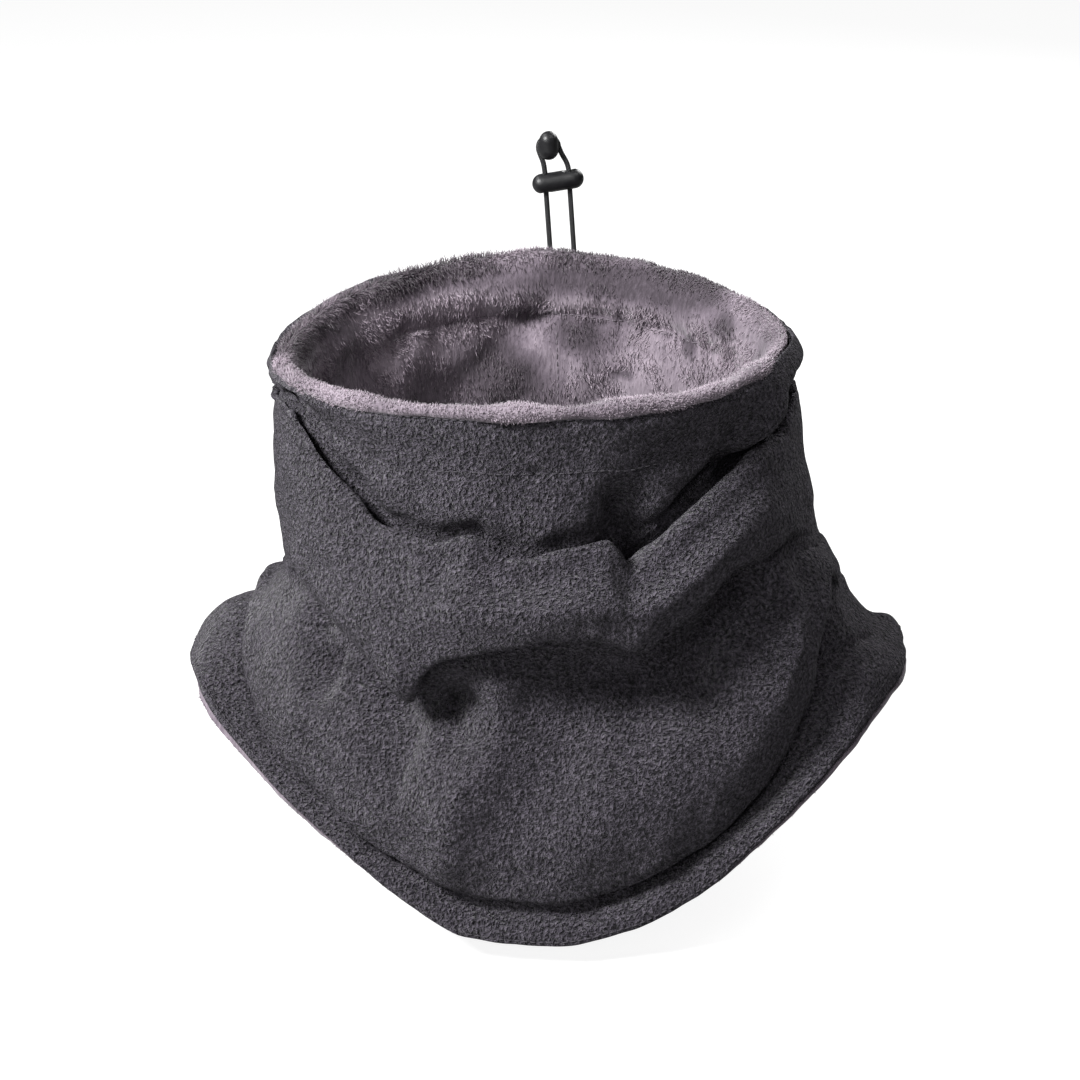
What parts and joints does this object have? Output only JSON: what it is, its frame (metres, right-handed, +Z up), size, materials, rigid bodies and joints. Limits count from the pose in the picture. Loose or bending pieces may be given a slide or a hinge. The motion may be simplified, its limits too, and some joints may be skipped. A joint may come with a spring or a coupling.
{
  "type": "neck gaiter",
  "caption": "Two-layer fleece neck gaiter: flared folded tube with a plush lining rolled over the rim, a casing, and an elastic drawcord loop with a cord lock at the back.",
  "frame": {"origin": "centre of the neck opening, level with the sides of the rim", "axes": "+Z up along the neck, out of the opening; the wearer faces -Y, so the cord is at +Y; +X is the wearer's left"},
  "size_m": [0.26, 0.205, 0.2538],
  "materials": {
    "fleece": "charcoal polar fleece, short pebbled pile",
    "plush": "mauve-grey plush with a long brushed pile",
    "thread": "polyester sewing thread",
    "cord": "black braided elastic cord",
    "eyelet": "black lacquered metal",
    "lock": "satin black plastic"
  },
  "bodies": {
    "gaiter": {"shell": "fleece", "lining": "plush", "rim_seam_thread": "thread", "hem_seam_thread": "thread", "casing_thread_outer": "thread", "casing_thread_inner": "thread", "shell_seam_thread": "thread", "lining_seam_thread": "thread", "eyelet_left": "eyelet", "eyelet_washer_left": "eyelet", "eyelet_right": "eyelet", "eyelet_washer_right": "eyelet", "drawcord_ring": "cord", "drawcord_loop": "cord", "loop_bead": "lock"},
    "cord_lock": {"cord_lock": "lock"}
  },
  "joints": [
    {"name": "cord_lock_slide", "type": "slide", "parent": "gaiter", "child": "cord_lock", "axis": [-0.0698, 0, 0.9976], "range_m": [-0.03, 0.001]}
  ]
}
